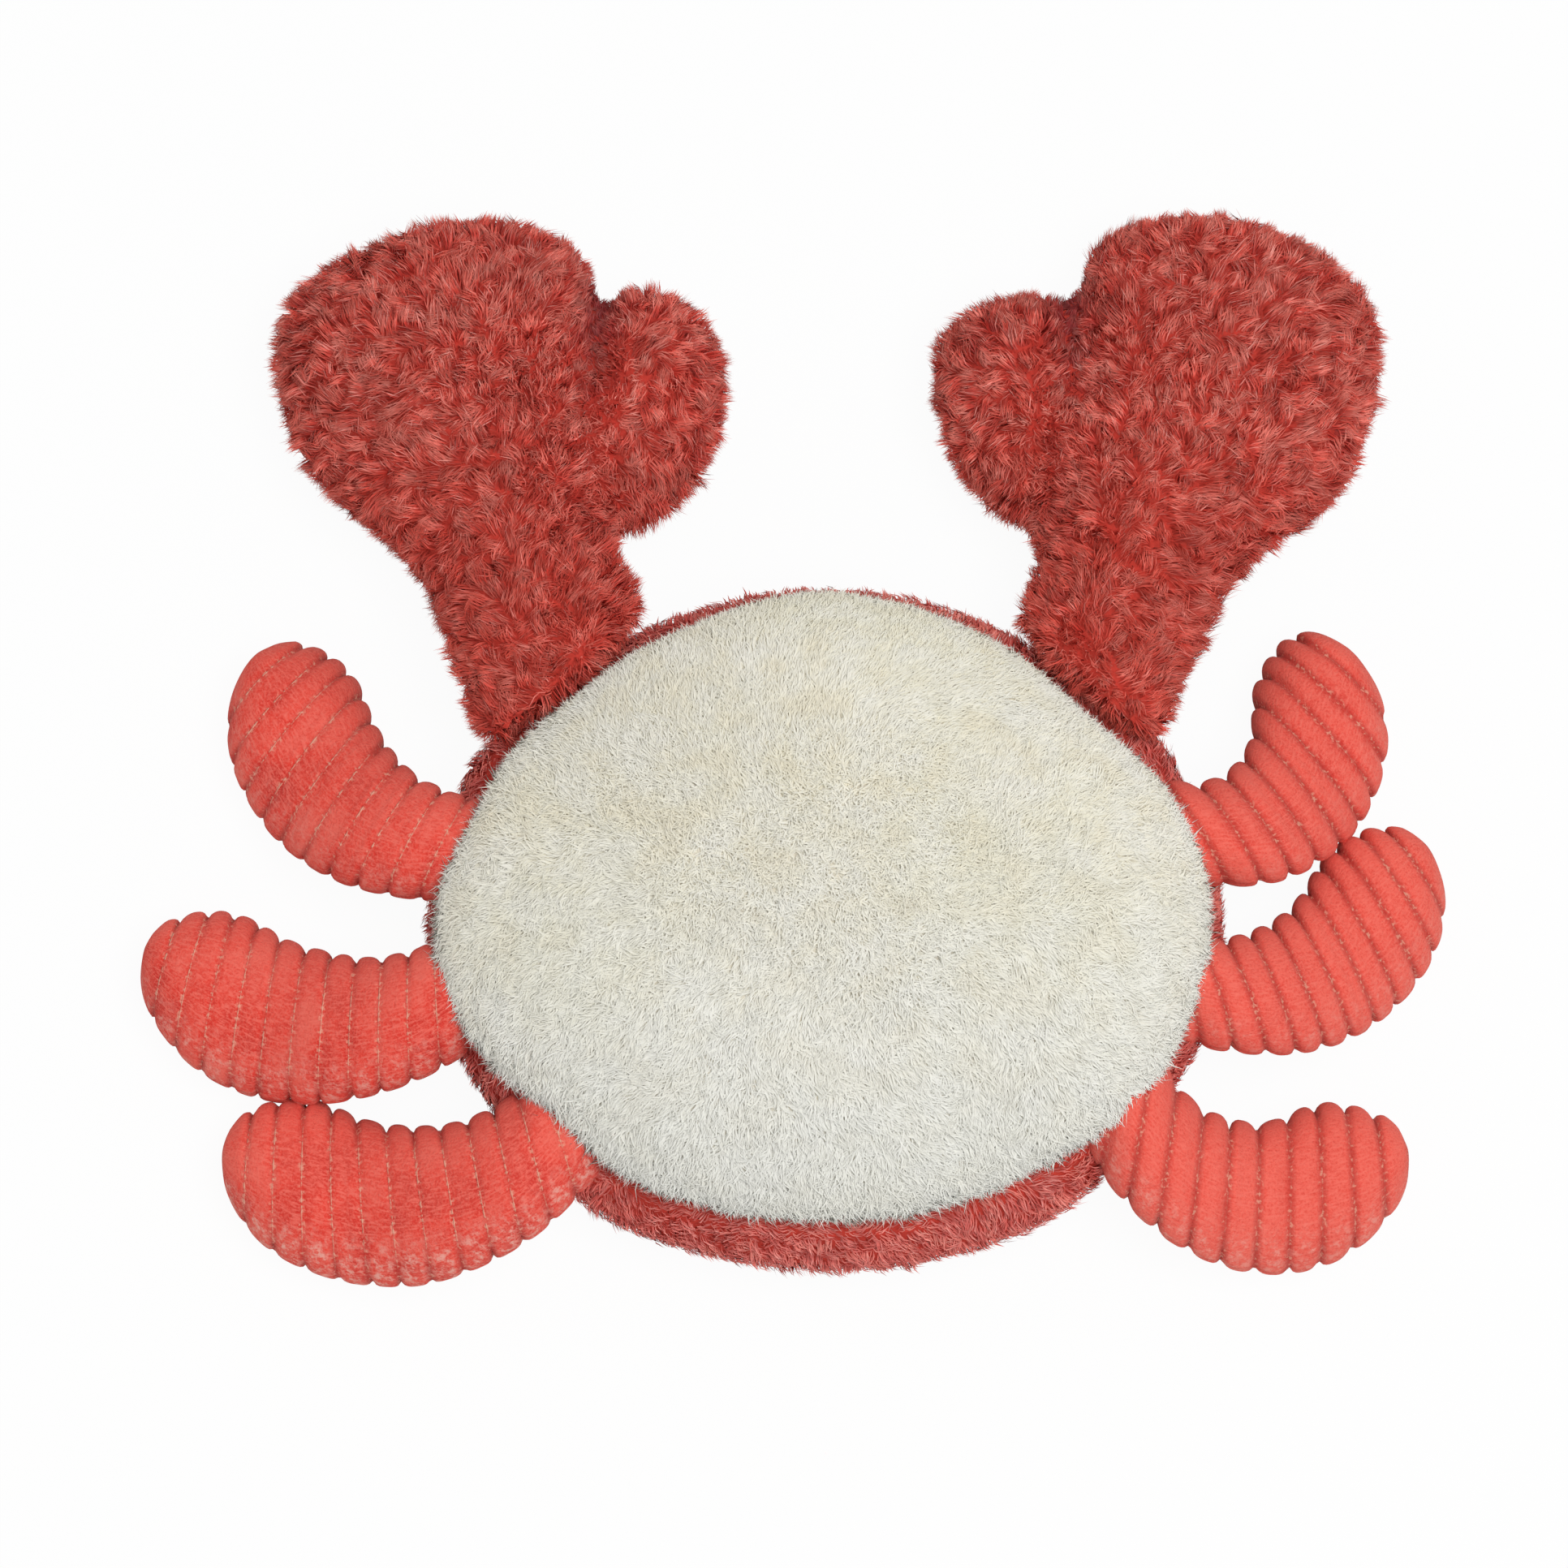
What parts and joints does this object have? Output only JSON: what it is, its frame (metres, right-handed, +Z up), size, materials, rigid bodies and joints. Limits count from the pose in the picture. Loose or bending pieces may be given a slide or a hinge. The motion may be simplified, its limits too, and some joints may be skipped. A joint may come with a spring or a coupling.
{
  "type": "plush crab",
  "caption": "Stuffed plush crab lying on its back, with a long-pile cream belly, a curly red back and claws, and bent corduroy legs.",
  "frame": {"origin": "on the table, at the middle of the flat spot on the back that the toy rests on", "axes": "+Z up, out of the belly; +Y towards the claws, the crab's own front; +X to the crab's own left, which is the right of the picture"},
  "size_m": [0.3452, 0.2852, 0.0903],
  "materials": {
    "cream_pile": "long soft cream pile, combed and slightly matted",
    "red_pile": "dusty red curly pile in small matted locks",
    "coral_corduroy": "coral wide-wale corduroy with a short velour nap"
  },
  "bodies": {
    "root": {"belly": "cream_pile", "back": "red_pile", "claw_left": "red_pile", "claw_right": "red_pile", "leg_left_front": "coral_corduroy", "leg_left_middle": "coral_corduroy", "leg_left_rear": "coral_corduroy", "leg_right_front": "coral_corduroy", "leg_right_middle": "coral_corduroy", "leg_right_rear": "coral_corduroy"}
  },
  "joints": []
}
